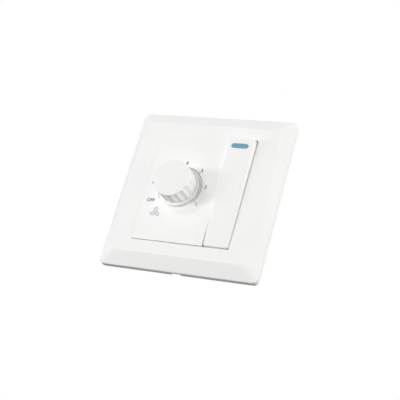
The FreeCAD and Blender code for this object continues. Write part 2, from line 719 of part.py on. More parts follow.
def speed_knob():
    """Fluted hollow knob with a base flange, a flatted socket and a pointer rib."""
    base = MODULE_Y - KNOB_GAP
    roof = MODULE_Y - KNOB_H + KNOB_ROOF
    socket_end = MODULE_Y - SHAFT_TIP - KNOB_GAP
    hollow = rod(KNOB_X, KNOB_Z, KNOB_R - KNOB_WALL, roof, base)
    hollow = hollow.cut(rod(KNOB_X, KNOB_Z, SHAFT_R + SOCKET_WALL, roof, socket_mouth()))
    pointer = block(KNOB_X - POINTER_W / 2, KNOB_X + POINTER_W / 2, MODULE_Y - KNOB_H + FLUTE_TOP,
                    base - FLANGE_T, KNOB_Z + KNOB_R - KNOB_WALL, KNOB_Z + POINTER_R)
    socket = shaft_section(SHAFT_RUN, socket_end, socket_mouth())
    clip_room = block(KNOB_X - CLIP_PLATE_W / 2, KNOB_X + CLIP_PLATE_W / 2, socket_end, socket_mouth(),
                      KNOB_Z - SHAFT_FLAT - CLIP_PLATE_T, KNOB_Z)
    knob = knob_outer().fuse(pointer).cut([hollow, socket.fuse(clip_room)])
    return knob_turned(knob.removeSplitter())


def swing_z(radius, y):
    """Height at which a swing circle about the rocker's pivot passes a depth."""
    return math.sqrt(radius ** 2 - (y - PIVOT_Y) ** 2)


def swing_profile(front, back, radius, tail, x0, x1):
    """Prism on the rocker's side view: flat front, ends swung about the pivot, and a tail outline behind."""
    ends = [(y, swing_z(radius, y)) for y in (front, (front + back) / 2, back)]
    upper = [Vector(x0, y, z) for y, z in ends]
    lower = [Vector(x0, y, -z) for y, z in ends]
    rear = [upper[2]] + [Vector(x0, y, z) for y, z in tail] + [lower[2]]
    edges = [Part.LineSegment(lower[0], upper[0]).toShape(), Part.Arc(*upper).toShape()]
    edges += [Part.LineSegment(a, b).toShape() for a, b in zip(rear, rear[1:])]
    edges.append(Part.Arc(*reversed(lower)).toShape())
    return Part.Face(Part.Wire(edges)).extrude(Vector(x1 - x0, 0, 0))


def rocker():
    """Hollow rocker with pivot pins, the plunger's stem and the marker strip's slot."""
    left = ROCKER_X - ROCKER_W / 2
    right = ROCKER_X + ROCKER_W / 2
    end_back = ROCKER_FRONT + ROCKER_END_DEPTH
    web_y = PIVOT_Y + PIVOT_WEB
    body = swing_profile(ROCKER_FRONT, end_back, ROCKER_SWING, [(web_y, PIVOT_WEB_Z), (web_y, -PIVOT_WEB_Z)],
                         left, right)
    end_z = swing_z(ROCKER_SWING, end_back) - ROCKER_WALL
    body = body.makeFillet(ROCKER_ROUND, edges_where(body, lambda p: abs(p.y - ROCKER_FRONT) < 1e-6))
    deep = web_y + ROCKER_WALL
    room = swing_profile(ROCKER_INNER, end_back, ROCKER_SWING - ROCKER_WALL,
                         [(deep, end_z), (deep, -end_z)], left + ROCKER_WALL, right - ROCKER_WALL)
    body = body.cut(room)
    stem_r = PLUNGER_R + PLUNGER_FIT + STEM_WALL
    stem_end = ROCKER_INNER + STEM_END
    pins = []
    for sign in SIDES:
        wall = ROCKER_X + sign * (ROCKER_W / 2 - ROCKER_WALL)
        tip = ROCKER_X + sign * (CRADLE_HALF - CRADLE_WALL)
        pins.append(cross_rod(min(wall, tip), max(wall, tip), PIVOT_R, PIVOT_Y, 0))
    body = body.fuse(pins + [rod(ROCKER_X, 0, stem_r, ROCKER_INNER, stem_end)])
    bore = rod(ROCKER_X, 0, PLUNGER_R + PLUNGER_FIT, ROCKER_INNER, stem_end)
    window = slot_bar(ROCKER_X, STRIP_Z, STRIP_LONG, STRIP_WIDE, ROCKER_FRONT, ROCKER_INNER)
    return tilted(body.cut([bore, window]).removeSplitter(), ROCKER_TILT, PIVOT_Y, 0)


def marker_strip():
    """Translucent strip set into the rocker from behind."""
    slim = 2 * STRIP_FIT
    face = slot_bar(ROCKER_X, STRIP_Z, STRIP_LONG - slim, STRIP_WIDE - slim,
                    ROCKER_FRONT + STRIP_SINK, ROCKER_INNER)
    lip = slot_bar(ROCKER_X, STRIP_Z, STRIP_LONG + 2 * STRIP_LIP, STRIP_WIDE + 2 * STRIP_LIP,
                   ROCKER_INNER, ROCKER_INNER + STRIP_LIP_T)
    return tilted(face.fuse(lip).removeSplitter(), ROCKER_TILT, PIVOT_Y, 0)


def plunger_back():
    """Depth of the plunger's spring end."""
    return PIVOT_Y + PLUNGER_TIP - PLUNGER_LONG


def plunger():
    """Pin in the rocker's stem, with a tapered nose."""
    tip = PIVOT_Y + PLUNGER_TIP
    profile = [(0, plunger_back()), (PLUNGER_R, plunger_back()), (PLUNGER_R, tip - PLUNGER_NOSE),
               (PLUNGER_NOSE_R, tip), (0, tip)]
    return tilted(revolve_y(profile, ROCKER_X, 0), ROCKER_TILT, PIVOT_Y, 0)


def plunger_spring():
    """Coil spring between the rocker and the plunger."""
    mean_r = PLUNGER_R - SPRING_WIRE / 2
    height = plunger_back() - ROCKER_INNER - SPRING_WIRE
    helix = Part.makeHelix(height / SPRING_TURNS, height, mean_r)
    half = SPRING_WIRE / 2
    corners = [Vector(mean_r + a * half, 0, b * half) for a, b in ((-1, -1), (1, -1), (1, 1), (-1, 1))]
    section = Part.makePolygon(corners + corners[:1])
    coil = Part.Wire(helix).makePipeShell([section], True, True)
    coil.rotate(Vector(0, 0, 0), WIDTH, -90)
    coil.translate(Vector(ROCKER_X, ROCKER_INNER + SPRING_WIRE / 2, 0))
    return tilted(coil, ROCKER_TILT, PIVOT_Y, 0)


def switch_cradle():
    """Tray on the plate with pivot ears in front and the contact box behind."""
    half_h = MODULE_H / 2
    tray = block(CRADLE_LEFT, CRADLE_RIGHT, SEAT_Y - CRADLE_TRAY, SEAT_Y, -half_h, half_h)
    half_box = CRADLE_BOX_TALL / 2
    box = block(CRADLE_LEFT, CRADLE_RIGHT, SEAT_Y, CRADLE_BACK, -half_box, half_box)
    ear_top = PIVOT_EAR_W / 2
    ears = []
    for x in (CRADLE_LEFT, CRADLE_RIGHT - CRADLE_WALL):
        ears.append(block(x, x + CRADLE_WALL, PIVOT_Y, SEAT_Y, -ear_top, ear_top))
        ears.append(cross_rod(x, x + CRADLE_WALL, ear_top, PIVOT_Y, 0))
    cradle = tray.fuse([box] + ears)
    inner_half = half_box - CRADLE_WALL
    room = block(CRADLE_LEFT + CRADLE_WALL, CRADLE_RIGHT - CRADLE_WALL,
                 SEAT_Y - CRADLE_TRAY, CRADLE_INNER_BACK, -inner_half, inner_half)
    pivots = cross_rod(CRADLE_LEFT, CRADLE_RIGHT, PIVOT_R + PIVOT_RUN, PIVOT_Y, 0)
    slots = [tail_bar(z, TAIL_FIT, CRADLE_INNER_BACK, CRADLE_BACK) for z in tail_places()]
    return cradle.cut([room, pivots] + slots).removeSplitter()


def moving_contact():
    """Bridge that rocks on the common contact's knife edge, with a rivet on its lower arm."""
    rise = CONTACT_ARM * math.tan(math.radians(CONTACT_TILT))
    half = CONTACT_W / 2
    bridge = side_profile([
        (CONTACT_FRONT - rise, -CONTACT_ARM), (CONTACT_FRONT, 0), (CONTACT_FRONT - rise, CONTACT_ARM),
        (CONTACT_PIVOT - rise, CONTACT_ARM), (CONTACT_PIVOT, 0), (CONTACT_PIVOT - rise, -CONTACT_ARM),
    ], ROCKER_X - half, ROCKER_X + half)
    closed = tilted(bridge, CONTACT_TILT, CONTACT_PIVOT, 0)
    rivet = rod(ROCKER_X, -RIVET_Z, RIVET_R, CONTACT_PIVOT - CONTACT_T / 2, CONTACT_PIVOT + RIVET_H)
    closed = closed.fuse(rivet).removeSplitter()
    return tilted(closed, -2 * CONTACT_TILT, CONTACT_PIVOT, 0)


def common_contact():
    """Upright with a knife edge, a foot on the box floor and a tail to the board."""
    edge_y = CONTACT_PIVOT + KNIFE_GAP
    half = CONTACT_W / 2
    blade = side_profile([
        (edge_y, 0), (edge_y + KNIFE_T, KNIFE_T / 2), (CRADLE_INNER_BACK, KNIFE_T / 2),
        (CRADLE_INNER_BACK, -KNIFE_T / 2), (edge_y + KNIFE_T, -KNIFE_T / 2),
    ], ROCKER_X - half, ROCKER_X + half)
    foot = block(ROCKER_X - half, ROCKER_X + half, CRADLE_INNER_BACK - CONTACT_T, CRADLE_INNER_BACK,
                 -KNIFE_T / 2, TAIL_Z + CONTACT_T / 2)
    tail = tail_bar(TAIL_Z, 0, CRADLE_INNER_BACK, BOARD_BACK + TAIL_OUT)
    return blade.fuse([foot, tail]).removeSplitter()


def fixed_contact():
    """Angled strip with a rivet that the lower arm closes on."""
    rivet_y = CONTACT_PIVOT + RIVET_H + CONTACT_GAP
    strip_y = rivet_y + RIVET_H
    half = CONTACT_W / 2
    strip = block(ROCKER_X - half, ROCKER_X + half, strip_y, strip_y + CONTACT_T,
                  -TAIL_Z - CONTACT_T / 2, RIVET_R + CONTACT_T - RIVET_Z)
    leg = block(ROCKER_X - half, ROCKER_X + half, strip_y, CRADLE_INNER_BACK,
                -TAIL_Z - CONTACT_T / 2, -TAIL_Z + CONTACT_T / 2)
    rivet = rod(ROCKER_X, -RIVET_Z, RIVET_R, rivet_y, strip_y)
    tail = tail_bar(-TAIL_Z, 0, CRADLE_INNER_BACK, BOARD_BACK + TAIL_OUT)
    return strip.fuse([leg, rivet, tail]).removeSplitter()


def choke_bar(radius, long):
    """Round bar on the choke's axis, which lies across the board."""
    return cross_rod(CHOKE_X - long / 2, CHOKE_X + long / 2, radius, BOARD_BACK + WINDING_R, CHOKE_Z)


def choke_core():
    """Ferrite rod held by its winding."""
    return choke_bar(CHOKE_R, CHOKE_LONG)


def choke_winding():
    """Wire wound on the rod, with a lead at each end."""
    root = BOARD_BACK + (WINDING_R - CHOKE_R) / 2
    coil = choke_bar(WINDING_R, WINDING_LONG).fuse(leads(choke_lead_places(), root))
    return coil.cut(choke_bar(CHOKE_R, WINDING_LONG)).removeSplitter()


def boxed_capacitor(x, z, long, tall, height, places):
    """Moulded case with bevelled edges and two leads."""
    case = block(x - long / 2, x + long / 2, BOARD_BACK, BOARD_BACK + height, z - tall / 2, z + tall / 2)
    case = case.makeChamfer(CASE_CHAMFER, edges_where(case, lambda p: p.y > BOARD_BACK))
    return case.fuse(leads(places, BOARD_BACK)).removeSplitter()


def film_capacitor():
    return boxed_capacitor(FILM_X, FILM_Z, FILM_LONG, FILM_TALL, FILM_H, film_lead_places())


def timing_capacitor():
    return boxed_capacitor(TIMING_X, TIMING_Z, TIMING_LONG, TIMING_TALL, TIMING_H, timing_lead_places())


def resistors():
    """Axial resistors lying on the board, their leads bent down to it."""
    made = []
    y = BOARD_BACK + RESISTOR_R
    for x in RESISTOR_X:
        body = Part.makeCylinder(RESISTOR_R, RESISTOR_LONG, Vector(x, y, RESISTOR_Z - RESISTOR_LONG / 2))
        span = (RESISTOR_SPAN + LEAD) / 2
        wire = block(x - LEAD / 2, x + LEAD / 2, y - LEAD / 2, y + LEAD / 2,
                     RESISTOR_Z - span, RESISTOR_Z + span)
        legs = leads([(x, RESISTOR_Z + sign * RESISTOR_SPAN / 2) for sign in SIDES], y)
        made.append(body.fuse([wire] + legs).removeSplitter())
    return Part.makeCompound(made)


def triac_hole_y():
    """Depth of the hole in the triac's tab."""
    return BOARD_BACK + TRIAC_STAND + (TRIAC_H + TRIAC_CASE_H) / 2


def triac():
    """Power package with a drilled metal tab, its back on the heat sink."""
    x0 = SINK_X + SINK_T
    foot = BOARD_BACK + TRIAC_STAND
    half = TRIAC_W / 2
    tab = block(x0, x0 + TRIAC_TAB, foot, foot + TRIAC_H, TRIAC_Z - half, TRIAC_Z + half)
    case = block(x0, x0 + TRIAC_T, foot, foot + TRIAC_CASE_H, TRIAC_Z - half, TRIAC_Z + half)
    hole = cross_rod(x0, x0 + TRIAC_TAB, TRIAC_HOLE_R, triac_hole_y(), TRIAC_Z)
    return tab.fuse([case] + leads(triac_lead_places(), foot)).cut(hole).removeSplitter()


def heat_sink():
    """Angled aluminium plate standing on the board."""
    z0 = TRIAC_Z - SINK_W / 2
    z1 = TRIAC_Z + SINK_W / 2
    wall = block(SINK_X, SINK_X + SINK_T, BOARD_BACK, BOARD_BACK + SINK_H, z0, z1)
    foot_z = TRIAC_Z + TRIAC_W / 2 + SINK_T
    foot = block(SINK_X, SINK_X + SINK_FOOT, BOARD_BACK, BOARD_BACK + SINK_T, foot_z, z1)
    hole = cross_rod(SINK_X, SINK_X + SINK_T, TAB_SCREW_R + SCREW_PLAY, triac_hole_y(), TRIAC_Z)
    return wall.fuse(foot).cut(hole).removeSplitter()


def triac_screw():
    """Screw that presses the tab on the heat sink."""
    seat = SINK_X + SINK_T + TRIAC_TAB
    shank = cross_rod(SINK_X, seat, TAB_SCREW_R, triac_hole_y(), TRIAC_Z)
    head = cross_rod(seat, seat + TAB_SCREW_HEAD_H, TAB_SCREW_HEAD_R, triac_hole_y(), TRIAC_Z)
    drive = block(seat + TAB_SCREW_HEAD_H - DRIVE_DEPTH, seat + TAB_SCREW_HEAD_H,
                  triac_hole_y() - DRIVE_W / 2, triac_hole_y() + DRIVE_W / 2,
                  TRIAC_Z - TAB_SCREW_HEAD_R, TRIAC_Z + TAB_SCREW_HEAD_R)
    return shank.fuse(head).cut(drive).removeSplitter()


def wire_terminals():
    """Brass blocks with a wire bore from below, a screw bore from behind and a pin to the board."""
    made = []
    half = TERMINAL_W / 2
    for x in TERMINAL_X:
        body = block(x - half, x + half, TERMINAL_FRONT, HOUSING_IN_BACK, TERMINAL_BOTTOM,
                     TERMINAL_BOTTOM + TERMINAL_TALL)
        post = pin(x, TERMINAL_Z, TERMINAL_PIN, BOARD_FRONT - LEAD_OUT, TERMINAL_FRONT)
        bore = Part.makeCylinder(WIRE_R, TERMINAL_TALL, Vector(x, WIRE_Y, TERMINAL_BOTTOM))
        thread = rod(x, TERMINAL_Z, CLAMP_R + SCREW_PLAY, WIRE_Y + WIRE_R - CLAMP_INTO, HOUSING_IN_BACK)
        made.append(body.fuse(post).cut([bore, thread]).removeSplitter())
    return Part.makeCompound(made)


def terminal_screws():
    """Slotted clamp screws, their heads in the housing's access holes."""
    tip = WIRE_Y + WIRE_R + CLAMP_CLEAR
    seat = HOUSING_IN_BACK
    return Part.makeCompound([driven_screw(x, TERMINAL_Z, CLAMP_R, tip, seat, CLAMP_HEAD_R, CLAMP_HEAD_H)
                              for x in TERMINAL_X])


PIECES = (
    cover_frame, mounting_plate, dial_panel, switch_cradle, rear_housing, housing_screws,
    circuit_board, pot_body, pot_washer, pot_nut, triac, heat_sink, triac_screw,
    choke_core, choke_winding, film_capacitor, timing_capacitor, resistors,
    wire_terminals, terminal_screws, common_contact, fixed_contact,
    speed_knob, pot_shaft, knob_clip, rocker, marker_strip, plunger, plunger_spring, moving_contact,
)


def main():
    os.makedirs("parts", exist_ok=True)
    for piece in PIECES:
        shape = piece()
        shape.exportStep("parts/" + piece.__name__ + ".step")
        state = "valid" if shape.isValid() else "INVALID"
        print(piece.__name__, len(shape.Solids), state, round(shape.Volume, 2))


main()
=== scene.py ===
import bmesh
import bpy
import json
import math
import numpy as np
from mathutils import Matrix, Vector


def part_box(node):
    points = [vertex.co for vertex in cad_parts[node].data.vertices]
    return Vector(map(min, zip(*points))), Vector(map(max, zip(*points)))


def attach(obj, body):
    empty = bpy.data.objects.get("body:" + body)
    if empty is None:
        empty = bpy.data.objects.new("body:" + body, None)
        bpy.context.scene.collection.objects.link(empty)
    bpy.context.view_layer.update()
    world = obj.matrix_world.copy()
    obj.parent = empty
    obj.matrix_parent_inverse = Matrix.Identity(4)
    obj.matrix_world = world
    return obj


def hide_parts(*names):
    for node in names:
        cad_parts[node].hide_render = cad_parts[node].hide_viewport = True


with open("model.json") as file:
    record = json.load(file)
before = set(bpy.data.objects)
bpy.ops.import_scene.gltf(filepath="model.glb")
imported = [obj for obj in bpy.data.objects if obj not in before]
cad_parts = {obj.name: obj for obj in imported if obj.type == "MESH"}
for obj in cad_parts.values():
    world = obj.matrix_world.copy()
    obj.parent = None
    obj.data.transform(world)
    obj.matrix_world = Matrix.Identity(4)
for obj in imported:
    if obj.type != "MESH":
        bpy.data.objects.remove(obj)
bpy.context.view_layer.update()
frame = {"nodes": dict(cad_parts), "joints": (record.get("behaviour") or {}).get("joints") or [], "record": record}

MM = 0.001

# Places read from the frame, in metres
FRAME_LOW, FRAME_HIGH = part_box("cover_frame")
PANEL_LOW, PANEL_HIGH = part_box("dial_panel")
KNOB_LOW, KNOB_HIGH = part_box("speed_knob")
ROCKER_LOW, ROCKER_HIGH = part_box("rocker")
PLATE_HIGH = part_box("mounting_plate")[1]
SHAFT_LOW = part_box("pot_shaft")[0]
JOINTS = {joint["name"]: joint for joint in frame["joints"]}
KNOB_AXIS = np.array(JOINTS["knob_turn"]["pos_m"])
ROCKER_PIVOT = np.array(JOINTS["rocker_tilt"]["pos_m"])

# Cover frame
FACE = FRAME_LOW.y
PLATE_FRONT = -1.8 * MM
PLATE_HALF = FRAME_HIGH.x
PLATE_R = 2.6 * MM
RIM_H = 2.9 * MM
SHOULDER_H = 0.8 * MM
SHOULDER_IN = 0.7 * MM
SHOULDER_R = 2.4 * MM
FACE_HALF_W = 35.8 * MM
FACE_HALF_H = 36.2 * MM
FACE_R = 2.2 * MM
FACE_BOW = 3.0 * MM
FACE_ROUND = 0.25 * MM
SHELL = 2.0 * MM
ROOF_INSET = 0.6 * MM
CAVITY_H = 2.6 * MM
CAVITY_R = 1.6 * MM
COLLAR = 1.4 * MM
OPEN_GAP = 0.15 * MM
OPEN_SHIFT = np.array((0.1, -0.1)) * MM
OPEN_LIP = 0.12 * MM
OPEN_R = 0.25 * MM
NOTCH_HALF = 2.4 * MM
NOTCH_H = 1.6 * MM
LUG_HALF = 4.5 * MM
LUG_Z = 20.0 * MM
LUG_H = 1.2 * MM
LUG_PLAY = 0.1 * MM
LUG_REACH = 0.45 * MM
HEAD_ROOM = 4.0 * MM
STEP = 0.01 * MM

# Knob
KNOB_R = 9.7 * MM
FLANGE_R = 10.6 * MM
FLANGE_T = 1.3 * MM
FLANGE_ROUND = 0.4 * MM
KNOB_EDGE = 0.3 * MM
KNOB_CROWN = 0.35 * MM
KNOB_ROOF = 1.8 * MM
KNOB_WALL = 1.9 * MM
FLUTES = 18
FLUTE_R = 2.2 * MM
FLUTE_DEPTH = 0.5 * MM
FLUTE_TOP = 0.55 * MM
POINTS_AT = -41.7
POINTER_HALF = 0.6 * MM
POINTER_R = 10.3 * MM
SOCKET_R = 4.6 * MM
SHAFT_R = 3.05 * MM
SOCKET_MOUTH = 3.6 * MM
SOCKET_SPARE = 0.4 * MM

# Rocker, worked out in the middle of its travel
ROCKER_TILT = 4.0
ROCKER_SWING = 29.1 * MM
ROCKER_HALF_W = (ROCKER_HIGH.x - ROCKER_LOW.x) / 2
ROCKER_CORNER = 1.1 * MM
ROCKER_ROUND = 0.6 * MM
ROCKER_SKIN = 1.8 * MM
ROCKER_WALL = 1.3 * MM
ROCKER_END = 4.0 * MM
WEB_BEHIND = 1.8 * MM
WEB_HALF = 3.0 * MM
STRIP_Z = 24.2 * MM
STRIP_HALF_W = 4.6 * MM
STRIP_HALF_H = 1.25 * MM
STRIP_EDGE = 0.1 * MM
STEM_R = 2.7 * MM
STEM_BORE = 1.75 * MM
STEM_LONG = 5.6 * MM
PIN_R = 1.2 * MM
PIN_LONG = 1.75 * MM

# Print on the dial panel
PANEL_FRONT = PANEL_LOW.y
INK = 0.02 * MM
ARC_R = 11.6 * MM
ARC_W = 0.22 * MM
TICK_LONG = 1.0 * MM
DIGIT_R = 13.9 * MM
HIDDEN_DIGIT_R = 15.6 * MM
DIGIT_TALL = 1.9 * MM
MARKS = 7
OFF_AT = -125.0
MARK_STEP = -2 * OFF_AT / (MARKS - 1)
OFF_PLACE = np.array((-21.9, -8.1)) * MM
SIGN_PLACE = np.array((-17.6, -14.4)) * MM
SIGN_TURNS = (-22, 98, 218)
SIGN_SIZE = 5.0 * MM
SIGN_LINE = 0.28 * MM

# Leaves of the fan sign, as shares of its size
LEAF_HALF = 0.2
LEAF_LEAN = 0.1
LEAF_HUB = 0.09

# Raw text, before its faces are put at the panel and at the ink's front
LETTER_DEEP = 0.01
LETTER_BOLD = 0.025

# Drift and grain of the finishes
DRIFT_SCALE = 60.0
GRAIN_SCALE = 2500.0
GRAIN_DETAIL = 2.0
GRAIN_DEEP = 0.02 * MM
GLOSS_SPREAD = 0.1

# Meshes: tolerances, the angle of a sharp edge in degrees, shares and numbers of points
TINY = 1e-7
RIB_STEP = 1e-3
SHARP_EDGE = 35.0
BETWEEN = (0.25, 0.5, 0.75)
CROWN_SHARES = np.linspace(0.9, 0, 10)
EDGE_POINTS = 12
CORNER_POINTS = 12
BEND_POINTS = 5
FLUTE_POINTS = 18
SIDE_ROWS = 5
TURN_POINTS = 48
RAY_POINTS = 90
ARC_POINTS = 97
TICK_POINTS = 3
LEAF_POINTS = 32
HALVINGS = 48

WIDTH = np.array((1.0, 0.0, 0.0))
DEPTH = np.array((0.0, 1.0, 0.0))
HEIGHT = np.array((0.0, 0.0, 1.0))
SIDES = (-1, 1)


def new_piece(name, mesh, material, body, stands_for=()):
    """Piece from a mesh: doubles merged, which closes seams and poles, faces turned outwards, and shading
    smooth but for edges sharper than an angle."""
    shape = bmesh.new()
    shape.from_mesh(mesh)
    bmesh.ops.remove_doubles(shape, verts=shape.verts, dist=TINY)
    bmesh.ops.recalc_face_normals(shape, faces=shape.faces)
    shape.to_mesh(mesh)
    shape.free()
    mesh.polygons.foreach_set("use_smooth", np.ones(len(mesh.polygons), bool))
    mesh.set_sharp_from_angle(angle=math.radians(SHARP_EDGE))
    mesh.materials.clear()
    mesh.materials.append(material)
    piece = bpy.data.objects.new(name, mesh)
    bpy.context.scene.collection.objects.link(piece)
    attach(piece, body)
    if stands_for:
        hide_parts(*stands_for)


def joined_mesh(name, surfaces):
    """One mesh from several (points, faces), the face numbers moved on by the points that came before."""
    points = [p.reshape(-1, 3) for p, _ in surfaces]
    starts = np.cumsum([0] + [len(p) for p in points[:-1]])
    faces = np.concatenate([f + start for (_, f), start in zip(surfaces, starts)])
    mesh = bpy.data.meshes.new(name)
    mesh.from_pydata(np.concatenate(points).tolist(), [], faces.tolist())
    return mesh


def grid_faces(rows, columns, close_rows=False, close_columns=True):
    """Quads between neighbours of a grid of points, wrapped round where a direction is closed."""
    i = np.arange(rows if close_rows else rows - 1)[:, None]
    j = np.arange(columns if close_columns else columns - 1)[None, :]
    i2 = (i + 1) % rows
    j2 = (j + 1) % columns
    corners = [i * columns + j, i * columns + j2, i2 * columns + j2, i2 * columns + j]
    return np.stack(np.broadcast_arrays(*corners), -1).reshape(-1, 4)


def mix(a, b, share):
    return a + (b - a) * share


def spaced(end, middle, count):
    """Places from one end of a straight stretch to the other, without its ends: even steps, and in the middle
    the places given."""
    outer = np.linspace(end, max(middle, default=0.0), count)[1:-1]
    return np.concatenate([outer, middle, -outer[::-1]])


def rounded_ring(half_w, half_h, radius, bow=0.0, level=(), beside=()):
    """Closed outline in (x, z): straight top and bottom, sides bowed outward as circle arcs, and
    corner arcs tangent to both. Each stretch has a fixed number of points, so rings match point for point.
    Extra places lie on the top and bottom and on the sides, at the same x or z in every ring."""
    lean = 0.0
    corner_x = half_w - radius
    corner_z = half_h - radius
    if bow:
        side_r = (half_h ** 2 + bow ** 2) / (2 * bow)
        side_x = half_w + bow - side_r
        corner_x = side_x + math.sqrt((side_r - radius) ** 2 - corner_z ** 2)
        lean = math.atan2(corner_z, corner_x - side_x)
    turn = np.linspace(math.pi / 2, lean, CORNER_POINTS)
    arc = np.stack([corner_x + radius * np.cos(turn), corner_z + radius * np.sin(turn)], -1)
    down = spaced(arc[-1, 1], beside, EDGE_POINTS)
    across = side_x + np.sqrt(side_r ** 2 - down ** 2) if bow else np.full(len(down), half_w)
    side = np.stack([across, down], -1)
    along = spaced(corner_x, level, EDGE_POINTS)
    bottom = np.stack([along, np.full(len(along), -half_h)], -1)
    right = np.concatenate([arc, side, (arc * (1, -1))[::-1]])
    left = right[::-1] * (-1, 1)
    return np.concatenate([right, bottom, left, bottom[::-1] * (1, -1)])


def at_depth(ring, y):
    """Ring of (x, z) points put at a depth, one value or one per point."""
    return np.stack([ring[:, 0], np.broadcast_to(y, len(ring)), ring[:, 1]], -1)


def rounding(start, peak, stop, steps=6):
    """Rows of points on a curve of second degree from start to stop, pulled towards peak."""
    t = np.linspace(0, 1, steps)[:, None, None]
    return (1 - t) ** 2 * start + 2 * t * (1 - t) * peak + t ** 2 * stop


def towards(start, stop, distance):
    """Points moved from start towards stop by a distance."""
    way = stop - start
    return start + way * (distance / np.linalg.norm(way, axis=1)[:, None])


def box_surface(low, high):
    """Box between two corners: its eight corners as a grid of two heights and four turns, with both ends."""
    x = np.array([low[0], high[0], high[0], low[0]])
    y = np.array([low[1], low[1], high[1], high[1]])
    points = np.stack([np.stack([x, y, np.full(4, z)], -1) for z in (low[2], high[2])])
    faces = np.concatenate([grid_faces(2, 4), [[0, 1, 2, 3], [4, 5, 6, 7]]])
    return points, faces


def turned(rows, origin, axis, upright, turn, close=False):
    """Surface of revolution: rows of (radius, distance along the axis), or of a radius for each turn, carried
    round the axis from the upright direction. A row of no radius is a pole."""
    radius = np.stack([np.broadcast_to(r, turn.shape) for r, _ in rows])[..., None]
    along = np.array([h for _, h in rows])[:, None, None]
    out = np.cos(turn)[:, None] * upright + np.sin(turn)[:, None] * np.cross(axis, upright)
    return origin + along * axis + radius * out, grid_faces(len(rows), len(turn), close_rows=close)


def cover_frame_surface():
    """Closed skin of the cover frame. The section runs from the rear rim up the side wall, round the
    shoulder, along the slope between the square outline and the bowed one, over the face, down the opening's
    collar and back along the cavity. The shoulder leaves the wall upright and meets the ruled slope at the
    slope's own angle. The rear rim lifts by the notch's height across the notch, and the collar stops short
    beside the heads of the fixing screws. The opening lies a little right of and below the frame's middle."""
    notch = np.array((NOTCH_HALF + STEP, NOTCH_HALF, -NOTCH_HALF, -NOTCH_HALF - STEP))
    room = np.array((HEAD_ROOM + STEP, HEAD_ROOM, -HEAD_ROOM, -HEAD_ROOM - STEP))

    def ring(half_w, half_h, radius, bow=0.0):
        return rounded_ring(half_w, half_h, radius, bow, level=notch, beside=room)

    inside = PLATE_HALF - SHELL
    open_w = OPEN_GAP - PANEL_LOW.x
    open_h = OPEN_GAP + PANEL_HIGH.z
    outer = ring(PLATE_HALF, PLATE_HALF, PLATE_R)
    border = ring(PLATE_HALF - SHOULDER_IN, PLATE_HALF - SHOULDER_IN, SHOULDER_R)
    inner = ring(inside, inside, CAVITY_R)
    opening = ring(open_w, open_h, OPEN_R) + OPEN_SHIFT
    collar = ring(open_w + COLLAR, open_h + COLLAR, OPEN_R) + OPEN_SHIFT
    roof = ring(FACE_HALF_W - ROOF_INSET, FACE_HALF_H - ROOF_INSET, CAVITY_R)
    face = at_depth(ring(FACE_HALF_W, FACE_HALF_H, FACE_R, FACE_BOW), FACE)
    in_notch = (np.abs(outer[:, 0]) <= NOTCH_HALF + TINY) & (outer[:, 1] < -inside)
    rear = np.where(in_notch, -NOTCH_H, 0.0)
    at_head = (np.abs(outer[:, 1]) <= HEAD_ROOM + TINY) & (np.abs(outer[:, 0]) > inside)
    collar_back = np.where(at_head, FACE + SHELL, PLATE_FRONT)
    slope_start = at_depth(border, -RIM_H - SHOULDER_H)
    slope_end = towards(face, slope_start, FACE_ROUND)
    way = slope_start - face
    fall = way[:, 1] / np.linalg.norm(way[:, ::2], axis=1)
    peak = at_depth(outer, slope_start[:, 1] + fall * np.linalg.norm(outer - border, axis=1))
    opening_front = at_depth(opening, FACE)
    face_start = towards(face, opening_front, FACE_ROUND)
    lip_start = towards(opening_front, face, OPEN_LIP)
    rows = [
        at_depth(inner, rear), at_depth(outer, rear),
        *rounding(at_depth(outer, -RIM_H), peak, slope_start, steps=9),
        *(mix(slope_start, slope_end, share) for share in BETWEEN),
        *rounding(slope_end, face, face_start),
        *(mix(face_start, lip_start, share) for share in BETWEEN),
        *rounding(lip_start, opening_front, at_depth(opening, FACE + OPEN_LIP), steps=4),
        at_depth(opening, collar_back), at_depth(collar, collar_back),
        at_depth(collar, FACE + SHELL), at_depth(roof, FACE + SHELL),
        at_depth(inner, -CAVITY_H),
    ]
    points = np.stack(rows)
    return points, grid_faces(len(rows), points.shape[1], close_rows=True)


def lug_surfaces():
    """The four lugs inside the frame's side walls that snap behind the mounting plate's ears."""
    back = PLATE_FRONT - LUG_PLAY
    made = []
    for side in SIDES:
        xs = sorted((side * (PLATE_HIGH.x - LUG_REACH), side * (PLATE_HALF - SHELL / 2)))
        for end in SIDES:
            low = (xs[0], back - LUG_H, end * LUG_Z - LUG_HALF)
            made.append(box_surface(low, (xs[1], back, end * LUG_Z + LUG_HALF)))
    return made


def fluted_radius(turn):
    """Radius round the knob's side: a circle with concave circular flutes, each the near side of a small
    circle whose centre lies outside, taken wherever it is the smaller of the two. The pointer rib's flat
    outer face stands out where the turn is within its width."""
    pitch = 2 * math.pi / FLUTES
    off = (turn + pitch / 2) % pitch - pitch / 2
    centre = KNOB_R + FLUTE_R - FLUTE_DEPTH
    root = np.sqrt(np.maximum(FLUTE_R ** 2 - (centre * np.sin(off)) ** 2, 0))
    groove = np.where(root > 0, centre * np.cos(off) - root, KNOB_R)
    on_rib = np.abs(np.arctan2(np.sin(turn), np.cos(turn))) <= pointer_turn() + TINY
    return np.where(on_rib, POINTER_R / np.cos(turn), np.minimum(KNOB_R, groove))


def pointer_turn():
    """Half the turn that the pointer rib takes up."""
    return math.atan2(POINTER_HALF, POINTER_R)


def bend(radius, y, size):
    """Rows of a rounded outer edge from a side of this radius to a front at this depth."""
    turn = np.linspace(0, math.pi / 2, BEND_POINTS)
    return [(radius - size * (1 - math.cos(a)), y + size * (1 - math.sin(a))) for a in turn]


